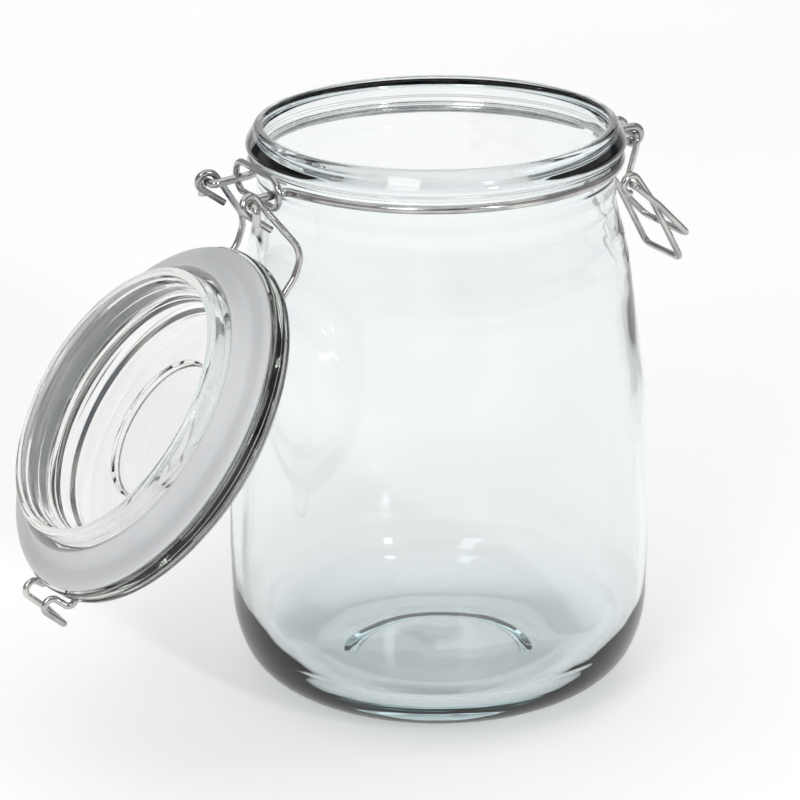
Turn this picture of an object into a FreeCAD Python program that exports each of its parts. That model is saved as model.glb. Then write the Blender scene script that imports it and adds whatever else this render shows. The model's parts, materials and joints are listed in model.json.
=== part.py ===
import FreeCAD, Part
import math
import os
from FreeCAD import Vector

# A one-litre clip-top storage jar: blown glass body, pressed glass lid with a soft ring
# seal, and a bent-wire closure. Millimetres. The origin is the centre of the base, +Z is
# up, the hinge is at -X and the latch at +X, and every pivot runs along Y.
# The lid hangs open against the jar and the latch hangs loose. The lid is drawn closed
# first and then swung open about the hinge. Outlines and paths give each corner's rounding
# beside its place.

# Jar
JAR_HEIGHT = 155.0
BODY_RADIUS = 56.6
BODY_Z = 40.0
SHOULDER = (55.4, 86.0)
NECK_START = (50.4, 120.0)
NECK_RADIUS = 46.9
NECK_Z = 133.5
MOUTH_RADIUS = 44.0
FLANGE_RADIUS = 49.5
FLANGE_BOTTOM = 146.8
FLANGE_TOP = 150.5
WALL = 3.2
BASE_THICKNESS = 5.5
FOOT_INNER = 26.0
FOOT_OUTER = 33.5
HEEL = ((51.3, 5.9), (56.2, 18.5))
PUSH_UP = 1.8
PUSH_UP_SLOPE = 4.0
HEEL_FLOOR_DROP = 2.0
HEEL_WALL_RISE = 3.0

# Wires
NECK_WIRE = 2.2
WIRE = 1.8
FIT = 0.1
EYE_RADIUS = 2.2
CURL_RADIUS = 2.4

# Closure points, as (x, z)
NECK_WIRE_Z = 145.4
HINGE = (-59.8, 144.3)
LATCH = (58.1, 143.7)
LEVER_PIN = (54.6, 131.7)
LEVER_KINK = (62.0, 125.5)
LEVER_TIP = (71.9, 115.6)
KNEE = (-57.0, 161.95)
KNEE_SHOULDER_X = -50.5
HOOK_X = 50.4
HOOK_FLOOR = 158.2
HOOK_WIDTH = 4.05
HOOK_TIP = (55.2, 166.8)

# Closure angles, in degrees
LID_SWING = 232.5
LINK_SLOPE = -55.0
LINK_WRAP = 235.0
EYE_START = -150.0
LEG_HEADING = 73.0
CURL_SWEEP = 198.0
NECK_RING = (12.0, 158.0)
LID_RING = (150.0, 14.0)

# Closure places across the jar, as distances from its middle plane
EYE_Y = 3.9
LEVER_Y = 6.6
LINK_Y = 8.7
HANDLE_Y = 10.8
ARM_Y = 9.2
LID_LEG_Y = 11.6
CURL_END_Y = 13.6
PIN_END_Y = 15.9
KNEE_Y = 16.5
HOOK_ENTRY_Y = 9.0
HOOK_TOP_Y = 8.3
HOOK_Y = 6.2
HOOK_TIP_Y = 5.5

# Closure lengths. LINK_BEND is a share of the link's length.
PIN_DROP = 4.6
CURL_TAIL = 8.0
LEG_STRAIGHT = 2.0
LATCH_LEG_REACH = 2.6
LINK_BEND = 0.3
CLIP_X = -51.7
CLIP_HALF_WIDTH = 12.2
CLIP_HALF_HEIGHT = 3.9

# Lid, in its closed place
SEAL_GAP = 0.25
SEAL_THICKNESS = 2.3
SEAL_INNER = 39.0
SEAL_OUTER = 48.3
SEAL_BEAD = 42.6
SEAL_BEAD_DEPTH = 4.4
SEAL_BEAD_TIP = 1.8
LID_RADIUS = 49.3
LID_FLANGE = 5.2
LID_DEPTH = 11.0
LID_RISE = 11.4
LID_PLATE = 5.0
PLUG_RADIUS = 38.7
LIP_RADIUS = 37.6
DOME_RADIUS = 44.0
DOME_TOP_RADIUS = 37.0
DOME_EDGE = 3.9
CENTRE_RING = 19.6
RING_STEP = 0.7
LID_WIRE_RADIUS = 45.5
LIP_WIDTH = 2.1
CUP_PLATE_INSET = 4.6
CUP_ROUND = 0.4
# The cup's stepped inside, as distances in from the lip's radius and up from its underside
CUP_STEPS = ((2.2, -9.0), (2.6, -8.3), (2.8, -2.4), (3.6, -1.7), (3.7, 1.3), (4.4, 2.0))

UNDER = JAR_HEIGHT + SEAL_GAP + SEAL_THICKNESS
LID_FLANGE_TOP = UNDER + LID_FLANGE
LIP = UNDER - LID_DEPTH
LID_TOP = UNDER + LID_RISE
LID_WIRE_Z = LID_FLANGE_TOP + WIRE / 2 + FIT

# Where the link's bar lies when it is in the hook: midway across it, clear of its floor
HOOK_SEAT = (HOOK_X + HOOK_WIDTH / 2, HOOK_FLOOR + HOOK_WIDTH / 2)

NEAR_ZERO = 1e-6
STUB = 0.2
SWEEP_TOLERANCE = 0.01
WIDEST_ARC = 75.0


def rounded_path(points, radii):
    """Edges through the points: straight runs joined by an arc of each corner's radius."""
    edges = []
    start = points[0]
    for before, corner, after, radius in zip(points, points[1:], points[2:], radii):
        back = (before - corner).normalize()
        ahead = (after - corner).normalize()
        half_turn = (math.pi - back.getAngle(ahead)) / 2
        middle = (back + ahead).normalize()
        trim = radius * math.tan(half_turn)
        arc_start = corner + back * trim
        arc_end = corner + ahead * trim
        arc_middle = corner + middle * (radius / math.cos(half_turn) - radius)
        if start.distanceToPoint(arc_start) > NEAR_ZERO:
            edges.append(Part.LineSegment(start, arc_start).toShape())
        edges.append(Part.Arc(arc_start, arc_middle, arc_end).toShape())
        start = arc_end
    edges.append(Part.LineSegment(start, points[-1]).toShape())
    return edges


def rounded_loop(corners):
    """Closed path edges through (point, radius) corners, from the middle of its last side."""
    points = [point for point, radius in corners]
    radii = [radius for point, radius in corners]
    seam = (points[-1] + points[0]) * 0.5
    return rounded_path([seam] + points + [seam], radii)


def revolved(outline):
    """Solid turned about Z from (r, z, corner radius) entries that start and end on the axis."""
    points = [Vector(r, 0, z) for r, z, radius in outline]
    radii = [radius for r, z, radius in outline[1:-1]]
    edges = rounded_path(points, radii)
    closing = Part.LineSegment(points[-1], points[0]).toShape()
    face = Part.Face(Part.Wire(edges + [closing]))
    return face.revolve(Vector(0, 0, 0), Vector(0, 0, 1), 360)


def swept(edges, diameter):
    """Round wire of the diameter along the edges, checked against its section times length."""
    path = Part.Wire(edges)
    first = edges[0]
    start = first.valueAt(first.FirstParameter)
    heading = first.tangentAt(first.FirstParameter)
    section = Part.Wire(Part.Circle(start, heading, diameter / 2).toShape())
    solid = path.makePipeShell([section], True, False)
    expected = math.pi * (diameter / 2) ** 2 * path.Length
    if not solid.isValid() or abs(solid.Volume / expected - 1) > SWEEP_TOLERANCE:
        raise RuntimeError("a wire did not sweep cleanly")
    return solid


def in_plane(y, *places):
    """Points at one y from (x, z) places."""
    return [Vector(x, y, z) for x, z in places]


def along(place, angle, distance):
    """The (x, z) place at a distance from another, at an angle above +X in degrees."""
    turn = math.radians(angle)
    return place[0] + distance * math.cos(turn), place[1] + distance * math.sin(turn)


def ring_corners(radius, z, first, last):
    """Two corners whose rounding is a ring's arc about Z, between two angles in degrees."""
    quarter = (last - first) / 4
    reach = radius / math.cos(math.radians(quarter))
    turns = [math.radians(first + quarter * step) for step in (1, 3)]
    return [Vector(reach * math.cos(turn), reach * math.sin(turn), z) for turn in turns]


def ring_entry(radius, z, angle, y):
    """Where a wire at one y meets the ring's tangent line at an angle in degrees."""
    turn = math.radians(angle)
    return Vector((radius - abs(y) * math.sin(turn)) / math.cos(turn), y, z)


def curl_corners(centre, radius, first, last, y_first, y_last):
    """Corners whose rounding is an arc round a pin along Y, between two angles in degrees."""
    count = math.ceil(abs(last - first) / WIDEST_ARC)
    step = (last - first) / count
    reach = radius / math.cos(math.radians(step / 2))
    corners = []
    for i in range(count):
        x, z = along(centre, first + (i + 0.5) * step, reach)
        corners.append(Vector(x, y_first + (y_last - y_first) * (i + 0.5) / count, z))
    return corners


def curl_end(centre, radius, angle, turn, y, length):
    """The free end of a curl: past its arc's end, a length along the tangent there."""
    x, z = along(along(centre, angle, radius), angle + turn, length)
    return Vector(x, y, z)


def mirrored(points):
    """The same points on the other side of the middle plane, in reverse order."""
    return [Vector(p.x, -p.y, p.z) for p in reversed(points)]


def both_sides(half, radii):
    """Open path edges through a half and its mirror image, end to end."""
    return rounded_path(half + mirrored(half), radii + radii[::-1])


def swing_open(shape):
    """Swing a shape that is drawn with the lid closed to the lid's open place."""
    shape.rotate(Vector(HINGE[0], 0, HINGE[1]), Vector(0, -1, 0), LID_SWING)
    return shape


def glass_jar():
    floor = PUSH_UP + BASE_THICKNESS
    return revolved([
        (0, PUSH_UP, 0),
        (FOOT_INNER - PUSH_UP_SLOPE, PUSH_UP, 5),
        (FOOT_INNER, 0, 1.5),
        (FOOT_OUTER, 0, 16),
        (*HEEL[0], 15),
        (*HEEL[1], 35),
        (BODY_RADIUS, BODY_Z, 150),
        (*SHOULDER, 90),
        (*NECK_START, 90),
        (NECK_RADIUS, NECK_Z, 12),
        (NECK_RADIUS, FLANGE_BOTTOM, 0.5),
        (FLANGE_RADIUS, FLANGE_BOTTOM, 0.8),
        (FLANGE_RADIUS, FLANGE_TOP, 3.5),
        (NECK_RADIUS, JAR_HEIGHT, 1.2),
        (MOUTH_RADIUS, JAR_HEIGHT, 0.9),
        (MOUTH_RADIUS, NECK_Z + 1, 14),
        (NECK_START[0] - WALL, NECK_START[1] - 1, 80),
        (SHOULDER[0] - WALL, SHOULDER[1], 90),
        (BODY_RADIUS - WALL, BODY_Z, 140),
        (HEEL[1][0] - WALL, HEEL[1][1] + HEEL_WALL_RISE, 26),
        (HEEL[0][0] - WALL, floor + HEEL[0][1] - HEEL_FLOOR_DROP, 11.5),
        (FOOT_OUTER, floor, 16),
        (0, floor, 0),
    ])


def gasket():
    """Flat ring on the jar's rim, with a bead on its inside that goes down into the mouth."""
    bottom = JAR_HEIGHT + SEAL_GAP
    outline = [(SEAL_INNER, UNDER, 0.4), (SEAL_INNER, bottom - SEAL_BEAD_DEPTH, 0.8),
               (SEAL_INNER + SEAL_BEAD_TIP, bottom - SEAL_BEAD_DEPTH, 0.8), (SEAL_BEAD, bottom, 2.0),
               (SEAL_OUTER, bottom, 0.9), (SEAL_OUTER, UNDER, 0.4)]
    edges = rounded_loop([(Vector(r, 0, z), radius) for r, z, radius in outline])
    face = Part.Face(Part.Wire(edges))
    return face.revolve(Vector(0, 0, 0), Vector(0, 0, 1), 360)


def glass_lid():
    plate = LID_TOP - LID_PLATE
    return revolved([
        (0, LID_TOP - RING_STEP, 0),
        (CENTRE_RING - RING_STEP, LID_TOP - RING_STEP, 0.7),
        (CENTRE_RING, LID_TOP, 0.7),
        (DOME_TOP_RADIUS, LID_TOP, 4),
        (DOME_RADIUS, LID_TOP - DOME_EDGE, 2),
        (DOME_RADIUS, LID_FLANGE_TOP, 0.4),
        (LID_RADIUS, LID_FLANGE_TOP, 1.4),
        (LID_RADIUS, UNDER, 0.8),
        (PLUG_RADIUS, UNDER, 0.3),
        (LIP_RADIUS, LIP, 1.0),
        (LIP_RADIUS - LIP_WIDTH, LIP, 0.9),
        *[(LIP_RADIUS - inset, UNDER + rise, CUP_ROUND) for inset, rise in CUP_STEPS],
        (LIP_RADIUS - CUP_PLATE_INSET, plate, 0.8),
        (CENTRE_RING, plate, 0.5),
        (CENTRE_RING - RING_STEP, plate + RING_STEP, 0.5),
        (0, plate + RING_STEP, 0),
    ])


def neck_wire(side):
    """Half of the neck wire: latch eye, half ring in the neck groove, arm and hinge pin."""
    ring = NECK_RADIUS + NECK_WIRE / 2 + FIT
    front, back = NECK_RING
    eye_y, arm_y, pin_y = side * EYE_Y, side * ARM_Y, side * PIN_END_Y
    eye = curl_corners(LATCH, EYE_RADIUS, EYE_START, 90, eye_y, eye_y)
    front_entry = ring_entry(ring, NECK_WIRE_Z, front, eye_y)
    leg_top = (LATCH[0] - EYE_RADIUS, LATCH[1] + EYE_RADIUS)
    leg_foot = (front_entry.x + LATCH_LEG_REACH, NECK_WIRE_Z)
    half_ring = ring_corners(ring, NECK_WIRE_Z, side * front, side * back)
    points = [curl_end(LATCH, EYE_RADIUS, EYE_START, -90, eye_y, STUB)] + eye
    points += in_plane(eye_y, leg_top, leg_foot) + [front_entry] + half_ring
    points += [ring_entry(ring, NECK_WIRE_Z, back, arm_y)]
    points += in_plane(arm_y, HINGE) + in_plane(pin_y, HINGE, (HINGE[0], HINGE[1] - PIN_DROP))
    radii = [EYE_RADIUS] * len(eye) + [1.6, 1.6, 2.0] + [ring] * 2 + [2.4, 1.3, 1.3]
    return swept(rounded_path(points, radii), NECK_WIRE)


def neck_clip_ring():
    """Oblong wire ring that both hinge arms pass through."""
    low, high = NECK_WIRE_Z - CLIP_HALF_HEIGHT, NECK_WIRE_Z + CLIP_HALF_HEIGHT
    ends = [(-CLIP_HALF_WIDTH, low), (-CLIP_HALF_WIDTH, high),
            (CLIP_HALF_WIDTH, high), (CLIP_HALF_WIDTH, low)]
    return swept(rounded_loop([(Vector(CLIP_X, y, z), CLIP_HALF_HEIGHT) for y, z in ends]), WIRE)


def lid_wire():
    """One wire: curl on a hinge pin, leg, ring over the lid's flange, and the front hook."""
    leg_start = LEG_HEADING + 90
    curl_stop = leg_start + CURL_SWEEP
    curl = curl_corners(HINGE, CURL_RADIUS, curl_stop, leg_start, CURL_END_Y, LID_LEG_Y)
    leg = along(along(HINGE, leg_start, CURL_RADIUS), LEG_HEADING, LEG_STRAIGHT)
    half = [curl_end(HINGE, CURL_RADIUS, curl_stop, 90, CURL_END_Y, CURL_TAIL)] + curl
    half += in_plane(LID_LEG_Y, leg)
    half += in_plane(KNEE_Y, KNEE, (KNEE_SHOULDER_X, LID_WIRE_Z))
    half += [ring_entry(LID_WIRE_RADIUS, LID_WIRE_Z, LID_RING[0], KNEE_Y)]
    half += ring_corners(LID_WIRE_RADIUS, LID_WIRE_Z, *LID_RING)
    half += [ring_entry(LID_WIRE_RADIUS, LID_WIRE_Z, LID_RING[1], HOOK_ENTRY_Y)]
    half += in_plane(HOOK_TOP_Y, (HOOK_X, LID_WIRE_Z))
    half += in_plane(HOOK_Y, (HOOK_X, HOOK_FLOOR), (HOOK_X + HOOK_WIDTH, HOOK_FLOOR))
    half += in_plane(HOOK_TIP_Y, HOOK_TIP)
    radii = [CURL_RADIUS] * len(curl) + [5, 6.5, 6, 4] + [LID_WIRE_RADIUS] * 2
    return swept(both_sides(half, radii + [1.6, 1.3, 2.0, 2.0, 1.3]), WIRE)


def latch_lever():
    """Closed loop: bar through the neck eyes, legs, pins for the link, and the handle."""
    half = in_plane(LEVER_Y, LATCH, LEVER_PIN)
    half += in_plane(HANDLE_Y, LEVER_PIN, LEVER_KINK, LEVER_TIP)
    radii = [1.3, 1.3, 1.3, 6, 2.2]
    return swept(rounded_loop(list(zip(half + mirrored(half), radii + radii[::-1]))), WIRE)


def latch_link():
    """Eyes round the lever's pins, legs, and the bar that lies in the lid's hook."""
    length = math.dist(HOOK_SEAT, LEVER_PIN)
    first = LINK_SLOPE + 90
    last = first + LINK_WRAP
    eye = curl_corners(LEVER_PIN, CURL_RADIUS, last, first, LINK_Y, LINK_Y)
    bend = along(along(LEVER_PIN, first, CURL_RADIUS), LINK_SLOPE, length * LINK_BEND)
    half = [curl_end(LEVER_PIN, CURL_RADIUS, last, 90, LINK_Y, STUB)] + eye
    half += in_plane(LINK_Y, bend, along(LEVER_PIN, LINK_SLOPE, length))
    return swept(both_sides(half, [CURL_RADIUS] * len(eye) + [30, 2.2]), WIRE)


nodes = {
    "glass_jar": glass_jar(),
    "neck_wire_near": neck_wire(-1),
    "neck_wire_far": neck_wire(1),
    "neck_clip_ring": neck_clip_ring(),
    "glass_lid": swing_open(glass_lid()),
    "gasket": swing_open(gasket()),
    "lid_wire": swing_open(lid_wire()),
    "latch_lever": latch_lever(),
    "latch_link": latch_link(),
}

os.makedirs("parts", exist_ok=True)
for name, shape in nodes.items():
    if not shape.isValid() or len(shape.Solids) != 1:
        raise RuntimeError(name + " is not one valid solid")
    shape.exportStep("parts/" + name + ".step")
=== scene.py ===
import json
import math

import bpy
from mathutils import Matrix, Vector


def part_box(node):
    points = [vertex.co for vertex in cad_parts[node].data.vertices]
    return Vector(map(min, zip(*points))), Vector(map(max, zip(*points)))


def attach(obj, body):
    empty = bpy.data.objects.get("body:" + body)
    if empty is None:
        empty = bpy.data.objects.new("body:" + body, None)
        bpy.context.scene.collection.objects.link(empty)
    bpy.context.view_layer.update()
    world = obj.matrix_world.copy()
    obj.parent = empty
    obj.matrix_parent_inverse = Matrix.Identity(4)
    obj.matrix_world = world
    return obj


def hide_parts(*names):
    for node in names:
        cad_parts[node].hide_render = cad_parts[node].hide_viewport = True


# A clip-top glass jar: fine glass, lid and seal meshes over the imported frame, whose wires stay.
# Outlines are in millimetres, as (radius, height, corner radius), and meshes are in metres.

MM = 0.001
NEAR_ZERO = 1e-6
NO_TURN = 1e-4
CLOSED_GAP = 1e-3

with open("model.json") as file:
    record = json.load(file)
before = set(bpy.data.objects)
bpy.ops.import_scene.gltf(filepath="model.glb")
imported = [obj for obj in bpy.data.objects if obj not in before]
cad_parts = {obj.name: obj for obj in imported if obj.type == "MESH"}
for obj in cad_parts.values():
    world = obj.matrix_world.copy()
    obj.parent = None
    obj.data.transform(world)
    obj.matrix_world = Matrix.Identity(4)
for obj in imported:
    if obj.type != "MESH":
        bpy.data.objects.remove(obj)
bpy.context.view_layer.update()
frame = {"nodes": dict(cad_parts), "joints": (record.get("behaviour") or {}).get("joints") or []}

SEAL_GAP = 0.25
SEAL_THICKNESS = 2.3
SEAT_GAP = 0.06
LID_DEPTH = 11.0
LID_FLANGE = 5.2
LID_RISE = 11.4
LID_PLATE = 5.0

# The levels that everything on the lid is measured from, in its closed place
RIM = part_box("glass_jar")[1].z / MM
SEAL_FACE = RIM + SEAL_GAP
UNDER = SEAL_FACE + SEAL_THICKNESS
LIP = UNDER - LID_DEPTH
FLANGE_TOP = UNDER + LID_FLANGE
LID_TOP = UNDER + LID_RISE
PLATE = LID_TOP - LID_PLATE

# How finely the meshes are divided: facets round a turn, run length and angle along an outline
ROUND_STEPS = 384
RUN_LENGTH = 2.0
ARC_ANGLE = 9.0
LEAST_ARC_STEPS = 3

# Mould marks and unevenness of the glass, in degrees, radians and millimetres
JAR_SEAMS = (62.0, 242.0)
SEAM_HEIGHT = 0.10
SEAM_WIDTH = 0.006
NECK_RING_HEIGHT = 0.10
NECK_RING_PITCH = 1.05
SKIN_WAVE = 0.12
CUP_WAVE = 0.05
# Slow waves in the jar's wall, as (times round, start in radians, millimetres per radian, size)
WALL_WAVES = ((2, 0.7, 47, 0.30), (5, 0, -19, 0.14), (9, 1.3, 31, 0.07))

# Lights as (name, place, target, width, height, watts), in metres
LIGHTS = (
    ("ceiling", (0, 0.2, 1.7), (0, 0, 0), 2.6, 2.6, 15),
    ("low_back", (0.5, 1.3, 0.35), (0, 0, 0.04), 1.6, 0.5, 2),
    ("key", (-1.1, -0.9, 1.0), (0, 0, 0.1), 0.5, 0.7, 5),
    ("window", (0.12, -1.5, 0.70), (0, 0, 0.13), 0.16, 0.26, 6))
ROOM_STRENGTH = 0.50
FLOOR_GLOW = 0.26
FLOOR_HALF = 4.0
FLOOR_LEVEL = -0.2 * MM

# The camera, in metres, millimetres of lens and sensor, and degrees
CAMERA_DISTANCE = 0.802
CAMERA_HEIGHT = 0.376
CAMERA_LENS = 144
CAMERA_SENSOR = 36
CAMERA_NEAR = 0.01
CAMERA_AZIMUTH = -29.0
CAMERA_PITCH = 20.4
CAMERA_YAW = 0.675
CAMERA_ROLL = -0.4

# A ray through both the open lid and the jar crosses many glass walls
LIGHT_BOUNCES = 24

WIRES = ("neck_wire_near", "neck_wire_far", "neck_clip_ring", "lid_wire", "latch_lever",
         "latch_link")

JAR_OUTSIDE = [
    (0, 1.8, 0), (22, 1.8, 5), (26, 0, 1.5), (33.5, 0, 16), (51.3, 5.9, 15), (56.2, 18.5, 35),
    (56.6, 40, 150), (55.4, 86, 90), (50.4, 120, 90), (46.9, 133.5, 12), (46.9, 146.8, 0.5),
    (49.5, 146.8, 0.8), (49.5, 150.5, 3.5), (46.9, RIM, 1.2), (45.4, RIM, 0)]
JAR_INSIDE = [
    (45.4, RIM, 0), (44.0, RIM, 0.9), (44.0, 146.6, 3), (43.7, 145.4, 3), (43.9, 142.0, 3),
    (43.6, 140.6, 3), (44.0, 137.5, 3), (44.0, 134.5, 8), (47.2, 119, 80), (52.2, 86, 90),
    (53.4, 40, 140), (53.0, 21.5, 26), (48.1, 11.2, 11.5), (33.5, 7.3, 16), (0, 7.3, 0)]
LID_OUTSIDE = [
    (0, LID_TOP - 0.7, 0), (18.9, LID_TOP - 0.7, 0.7), (19.6, LID_TOP, 0.7), (37, LID_TOP, 4),
    (44, LID_TOP - 3.9, 2), (44, FLANGE_TOP, 0.4), (49.3, FLANGE_TOP, 1.2),
    (49.3, UNDER + 3.5, 0.2), (48.9, UNDER + 3.2, 0.2), (48.9, UNDER + 2.2, 0.2),
    (49.3, UNDER + 1.9, 0.2), (49.3, UNDER, 0.8),
    (38.7, UNDER, 0.3), (37.6, LIP, 1.0), (36.6, LIP, 0)]
LID_INSIDE = [
    (36.6, LIP, 0), (35.5, LIP, 0.9), (35.4, UNDER - 9.0, 0.3), (35.0, UNDER - 8.4, 0.3),
    (34.8, UNDER - 5.3, 0.3), (34.65, UNDER - 5.1, 0.3), (34.6, UNDER - 2.3, 0.25),
    (34.0, UNDER - 1.8, 0.25), (33.95, UNDER - 0.4, 0.3), (33.75, UNDER - 0.2, 0.3),
    (33.7, UNDER + 1.4, 0.25), (33.1, UNDER + 1.9, 0.25), (33.0, PLATE, 0.7), (19.6, PLATE, 0.4),
    (18.9, PLATE + 0.7, 0.4), (0, PLATE + 0.7, 0)]
SEAL_PROFILE = [
    (39.1, SEAL_FACE, 0), (39.05, SEAL_FACE - 4.3, 0.7), (40.6, SEAL_FACE - 4.3, 0.9),
    (42.5, SEAL_FACE - 0.3, 2.5), (47.0, SEAL_FACE + 0.05, 3), (48.25, SEAL_FACE + 0.8, 0.7),
    (48.25, UNDER - SEAT_GAP, 0.35), (39.05, UNDER - SEAT_GAP, 0.35), (39.1, SEAL_FACE, 0)]


def rounded(outline):
    """Points (radius, height) along an outline, its corners rounded and its runs divided."""
    corners = [Vector(entry[:2]) for entry in outline]
    points = [corners[0]]

    def run_to(target):
        start = points[-1]
        pieces = max(1, math.ceil((target - start).length / RUN_LENGTH))
        points.extend(start.lerp(target, (i + 1) / pieces) for i in range(pieces))

    for before, corner, after, entry in zip(corners, corners[1:], corners[2:], outline[1:]):
        back = (before - corner).normalized()
        ahead = (after - corner).normalized()
        turn = math.pi - back.angle(ahead)
        radius = entry[2]
        if radius == 0 or turn < NO_TURN:
            run_to(corner)
            continue
        trim = radius * math.tan(turn / 2)
        run_to(corner + back * trim)
        centre = corner + (back + ahead).normalized() * (radius / math.cos(turn / 2))
        spoke = points[-1] - centre
        side = 1 if spoke.x * ahead.y - spoke.y * ahead.x > 0 else -1
        steps = max(LEAST_ARC_STEPS, math.ceil(math.degrees(turn) / ARC_ANGLE),
                    math.ceil(radius * turn / RUN_LENGTH))
        for i in range(1, steps + 1):
            bend = side * turn * i / steps
            points.append(centre + Vector((spoke.x * math.cos(bend) - spoke.y * math.sin(bend),
                                           spoke.x * math.sin(bend) + spoke.y * math.cos(bend))))
    run_to(corners[-1])
    return points


def lathe(name, outlines, material, body, node, place=Matrix()):
    """A smooth piece turned about Z from (outline, offset) pairs joined end to end.

    The offset gives the extra radius in millimetres at a height and an angle. The profile is
    put in the order that makes its faces look outwards."""
    profile = []
    for outline, offset in outlines:
        points = rounded(outline)
        profile += [(p.x, p.y, offset) for p in (points[1:] if profile else points)]
    closed = math.dist(profile[0][:2], profile[-1][:2]) < CLOSED_GAP
    if closed:
        profile.pop()
    area = sum(a[0] * b[1] - b[0] * a[1] for a, b in zip(profile, profile[1:] + profile[:1]))
    if area < 0:
        profile.reverse()
    verts, rows, faces = [], [], []
    for radius, height, offset in profile:
        if radius < NEAR_ZERO:
            rows.append([len(verts)] * ROUND_STEPS)
            verts.append(place @ (Vector((0, 0, height)) * MM))
            continue
        rows.append(list(range(len(verts), len(verts) + ROUND_STEPS)))
        for i in range(ROUND_STEPS):
            angle = math.tau * i / ROUND_STEPS
            r = radius + offset(height, angle)
            verts.append(place @ (Vector((r * math.cos(angle), r * math.sin(angle), height)) * MM))
    pairs = list(zip(rows, rows[1:])) + ([(rows[-1], rows[0])] if closed else [])
    for low, high in pairs:
        for i in range(ROUND_STEPS):
            j = (i + 1) % ROUND_STEPS
            corners = [low[i], low[j], high[j], high[i]]
            faces.append([c for k, c in enumerate(corners) if c not in corners[:k]])
    mesh = bpy.data.meshes.new(name)
    mesh.from_pydata(verts, [], faces)
    mesh.polygons.foreach_set("use_smooth", [True] * len(faces))
    mesh.materials.append(material)
    piece = bpy.data.objects.new(name, mesh)
    bpy.context.scene.collection.objects.link(piece)
    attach(piece, body)
    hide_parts(node)
    return piece


def even(height, angle):
    """The offset of a surface with nothing uneven about it."""
    return 0.0


def between(low, high, soft):
    """A weight that is 1 between two heights and fades to 0 over a soft distance."""
    def weight(height):
        rise = min(1.0, max(0.0, (height - low) / soft))
        fall = min(1.0, max(0.0, (high - height) / soft))
        return rise * fall
    return weight


def seam_ridges(angle):
    """The fine upright ridges that the halves of the jar's mould leave."""
    ridges = 0.0
    for seam in JAR_SEAMS:
        away = math.remainder(angle - math.radians(seam), math.tau)
        ridges += SEAM_HEIGHT * math.exp(-(away / SEAM_WIDTH) ** 2)
    return ridges


def jar_skin(height, angle):
    """The outside of the blown body: mould seams, slack rings under the neck, slow hollows."""
    ridges = seam_ridges(angle) * between(4, 150, 4)(height)
    wave = math.sin((height - 112) * NECK_RING_PITCH)
    rings = NECK_RING_HEIGHT * wave * between(112, 132, 5)(height)
    hollow = SKIN_WAVE * (0.5 + 0.5 * math.sin(4 * angle + height / 23))
    return ridges + rings - hollow * between(8, 125, 20)(height)


def jar_wall(height, angle):
    """The inside of the blown body: its wall is thicker and thinner in slow waves."""
    slow = sum(size * math.sin(times * angle + start + height / pitch)
               for times, start, pitch, size in WALL_WAVES)
    return slow * between(10, 132, 22)(height)


def pressed_wall(height, angle):
    """The inside of the pressed lid: very slight waves round the cup's wall."""
    return CUP_WAVE * math.sin(6 * angle + height) * between(LIP + 1, PLATE - 1, 1)(height)


def node_of(tree, kind, **inputs):
    """A new shader node with some of its inputs set."""
    node = tree.nodes.new(kind)
    for name, value in inputs.items():
        node.inputs[name.replace("_", " ")].default_value = value
    return node


def surface(name):
    """A new material with its tree, its shader and its object coordinates."""
    material = bpy.data.materials.new(name)
    material.use_nodes = True
    tree = material.node_tree
    shader = tree.nodes["Principled BSDF"]
    coordinates = tree.nodes.new("ShaderNodeTexCoord")
    return material, tree, shader, coordinates.outputs["Object"]


def noise(tree, place, scale, detail, stretch=None):
    """Noise at a scale per metre, stretched along an axis if asked."""
    if stretch:
        mapping = node_of(tree, "ShaderNodeMapping", Scale=stretch)
        tree.links.new(place, mapping.inputs["Vector"])
        place = mapping.outputs["Vector"]
    node = node_of(tree, "ShaderNodeTexNoise", Scale=scale, Detail=detail)
    tree.links.new(place, node.inputs["Vector"])
    return node.outputs["Fac"]


def spread(tree, value, low, high):
    """The value's middle range spread from low to high."""
    node = node_of(tree, "ShaderNodeMapRange", From_Min=0.3, From_Max=0.7, To_Min=low, To_Max=high)
    tree.links.new(value, node.inputs["Value"])
    return node.outputs["Result"]


def tinted(tree, value, dark, light):
    """A colour between two by a value."""
    ramp = tree.nodes.new("ShaderNodeValToRGB")
    ramp.color_ramp.elements[0].position = 0.3
    ramp.color_ramp.elements[0].color = (*dark, 1)
    ramp.color_ramp.elements[1].position = 0.7
    ramp.color_ramp.elements[1].color = (*light, 1)
    tree.links.new(value, ramp.inputs["Fac"])
    return ramp.outputs["Color"]


def bumped(tree, shader, value, distance):
    """Small relief on the shader from a value."""
    node = node_of(tree, "ShaderNodeBump", Strength=1.0, Distance=distance)
    tree.links.new(value, node.inputs["Height"])
    tree.links.new(node.outputs["Normal"], shader.inputs["Normal"])


def glass(name, absorbed, density, ripple):
    """Clear soda glass: faint ripples, a little haze, and a tint that grows with thickness."""
    material, tree, shader, place = surface(name)
    shader.inputs["Transmission Weight"].default_value = 1.0
    shader.inputs["IOR"].default_value = 1.5
    slow = noise(tree, place, 26, 2.0, (1.0, 1.0, 0.45))
    tree.links.new(tinted(tree, slow, (0.964, 0.968, 0.968), (0.990, 0.990, 0.990)),
                   shader.inputs["Base Color"])
    tree.links.new(spread(tree, noise(tree, place, 90, 3.0), 0.0, 0.02),
                   shader.inputs["Roughness"])
    bumped(tree, shader, slow, ripple)
    body = node_of(tree, "ShaderNodeVolumeAbsorption", Density=density)
    body.inputs["Color"].default_value = (*absorbed, 1)
    tree.links.new(body.outputs["Volume"], tree.nodes["Material Output"].inputs["Volume"])
    return material


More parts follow.
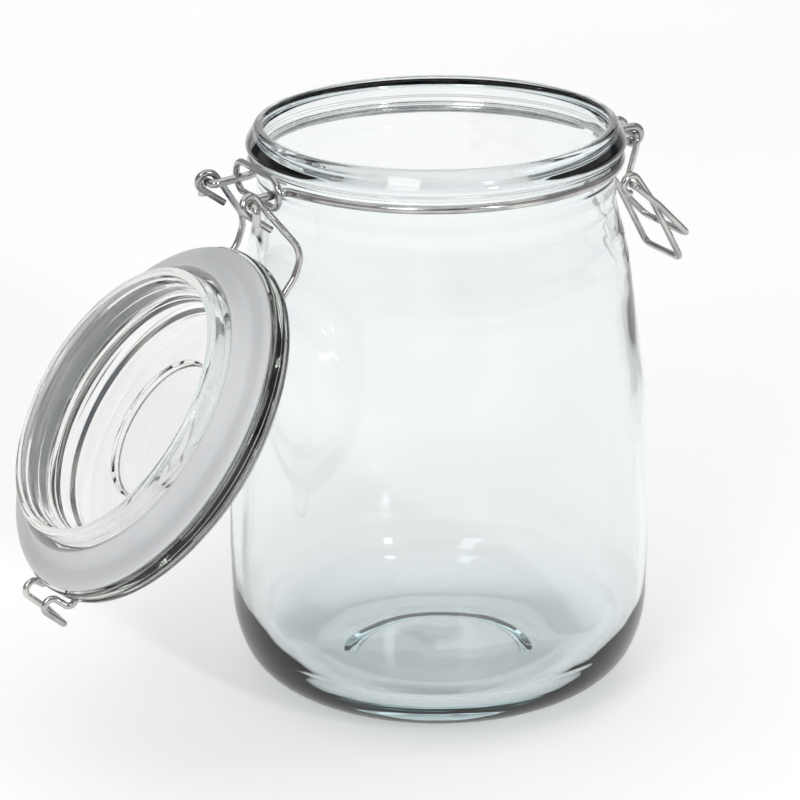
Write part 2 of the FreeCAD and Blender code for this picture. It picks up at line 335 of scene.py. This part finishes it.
def frosted_seal():
    """Soft translucent seal: cloudy, matt, with faint moulding grain."""
    material, tree, shader, place = surface("frosted_seal")
    shader.inputs["Transmission Weight"].default_value = 0.08
    shader.inputs["IOR"].default_value = 1.41
    shader.inputs["Subsurface Weight"].default_value = 0.12
    shader.inputs["Subsurface Scale"].default_value = 0.004
    cloud = noise(tree, place, 38, 3.0)
    tree.links.new(tinted(tree, cloud, (0.64, 0.66, 0.675), (0.71, 0.725, 0.735)),
                   shader.inputs["Base Color"])
    tree.links.new(spread(tree, noise(tree, place, 210, 2.0), 0.34, 0.50),
                   shader.inputs["Roughness"])
    bumped(tree, shader, noise(tree, place, 900, 2.0), 0.00004)
    return material


def plated_wire():
    """Bright plated wire: drawn marks, small smears and worn places."""
    material, tree, shader, place = surface("plated_wire")
    shader.inputs["Metallic"].default_value = 1.0
    smear = noise(tree, place, 120, 3.0)
    tree.links.new(tinted(tree, smear, (0.38, 0.38, 0.40), (0.66, 0.65, 0.62)),
                   shader.inputs["Base Color"])
    tree.links.new(spread(tree, noise(tree, place, 420, 2.0), 0.08, 0.22),
                   shader.inputs["Roughness"])
    bumped(tree, shader, noise(tree, place, 1500, 2.0), 0.00003)
    return material


def pale_floor():
    """Plain pale sheet under the jar."""
    material, tree, shader, place = surface("pale_floor")
    faint = noise(tree, place, 3, 2.0)
    tree.links.new(tinted(tree, faint, (0.90, 0.90, 0.90), (0.92, 0.92, 0.92)),
                   shader.inputs["Base Color"])
    tree.links.new(spread(tree, noise(tree, place, 40, 2.0), 0.7, 0.8),
                   shader.inputs["Roughness"])
    shader.inputs["Specular IOR Level"].default_value = 0.1
    shader.inputs["Emission Color"].default_value = (1, 1, 1, 1)
    shader.inputs["Emission Strength"].default_value = FLOOR_GLOW
    mesh = bpy.data.meshes.new("floor")
    signs = ((-1, -1), (1, -1), (1, 1), (-1, 1))
    mesh.from_pydata([(x * FLOOR_HALF, y * FLOOR_HALF, FLOOR_LEVEL) for x, y in signs],
                     [], [(0, 1, 2, 3)])
    mesh.materials.append(material)
    floor = bpy.data.objects.new("floor", mesh)
    bpy.context.scene.collection.objects.link(floor)


def lid_place():
    """The move that takes the lid from its closed place to the packed, open one."""
    hinge = next(j for j in frame["joints"] if j["name"] == "lid_hinge")
    centre = Vector(hinge["pos_m"])
    swing = Matrix.Rotation(-math.radians(hinge["range_deg"][1]), 4, Vector(hinge["axis"]))
    return Matrix.Translation(centre) @ swing @ Matrix.Translation(-centre)


def softbox(name, place, target, width, height, power):
    """A rectangular soft light aimed at a point."""
    light = bpy.data.lights.new(name, "AREA")
    light.shape = "RECTANGLE"
    light.size, light.size_y, light.energy = width, height, power
    lamp = bpy.data.objects.new(name, light)
    bpy.context.scene.collection.objects.link(lamp)
    lamp.location = place
    lamp.rotation_euler = (Vector(target) - Vector(place)).to_track_quat("-Z", "Y").to_euler()


def studio():
    """A pale room with a few darker and warmer places for glass and metal to show."""
    world = bpy.data.worlds.new("studio")
    bpy.context.scene.world = world
    world.use_nodes = True
    tree = world.node_tree
    place = tree.nodes.new("ShaderNodeTexCoord").outputs["Generated"]
    patches = tree.nodes.new("ShaderNodeTexNoise")
    patches.inputs["Scale"].default_value = 2.3
    patches.inputs["Detail"].default_value = 1.0
    tree.links.new(place, patches.inputs["Vector"])
    ramp = tree.nodes.new("ShaderNodeValToRGB")
    stops = ramp.color_ramp.elements
    stops[0].position, stops[0].color = 0.38, (0.17, 0.19, 0.23, 1)
    stops[1].position, stops[1].color = 0.58, (0.95, 0.95, 0.96, 1)
    warm = stops.new(0.46)
    warm.color = (0.60, 0.55, 0.51, 1)
    tree.links.new(patches.outputs["Fac"], ramp.inputs["Fac"])
    tree.links.new(ramp.outputs["Color"], tree.nodes["Background"].inputs["Color"])
    tree.nodes["Background"].inputs["Strength"].default_value = ROOM_STRENGTH
    for light in LIGHTS:
        softbox(*light)


def camera():
    """The viewpoint: in front of the jar and to its left, looking down."""
    data = bpy.data.cameras.new("camera")
    data.sensor_width, data.lens, data.clip_start = CAMERA_SENSOR, CAMERA_LENS, CAMERA_NEAR
    azimuth, pitch = math.radians(CAMERA_AZIMUTH), math.radians(CAMERA_PITCH)
    yaw, roll = math.radians(CAMERA_YAW), math.radians(CAMERA_ROLL)
    level = Vector((-math.sin(azimuth), math.cos(azimuth), 0))
    right = Vector((math.cos(azimuth), math.sin(azimuth), 0))
    ahead = level * math.cos(pitch) - Vector((0, 0, math.sin(pitch)))
    up = level * math.sin(pitch) + Vector((0, 0, math.cos(pitch)))
    ahead, right = (ahead * math.cos(yaw) - right * math.sin(yaw),
                    right * math.cos(yaw) + ahead * math.sin(yaw))
    right, up = (right * math.cos(roll) + up * math.sin(roll),
                 up * math.cos(roll) - right * math.sin(roll))
    view = bpy.data.objects.new("camera", data)
    bpy.context.scene.collection.objects.link(view)
    turn = Matrix((right, up, -ahead)).transposed().to_4x4()
    place = Vector((math.sin(azimuth) * CAMERA_DISTANCE, -math.cos(azimuth) * CAMERA_DISTANCE,
                    CAMERA_HEIGHT))
    view.matrix_world = Matrix.Translation(place) @ turn
    bpy.context.scene.camera = view


open_lid = lid_place()
lathe("jar_glass_body", [(JAR_OUTSIDE, jar_skin), (JAR_INSIDE, jar_wall)],
      glass("jar_glass", (0.68, 0.90, 0.93), 30.0, 0.0006), "jar", "glass_jar")
lathe("lid_glass_body", [(LID_OUTSIDE, even), (LID_INSIDE, pressed_wall)],
      glass("lid_glass", (0.84, 0.90, 0.84), 16.0, 0.0002), "lid", "glass_lid",
      open_lid)
lathe("ring_seal", [(SEAL_PROFILE, even)], frosted_seal(), "lid", "gasket", open_lid)

wire = plated_wire()
for name in WIRES:
    for holder in frame["nodes"][name].material_slots:
        holder.material = wire

pale_floor()
studio()
camera()
bpy.context.scene.view_settings.view_transform = "Standard"
bpy.context.scene.cycles.max_bounces = LIGHT_BOUNCES
bpy.context.scene.cycles.transmission_bounces = LIGHT_BOUNCES
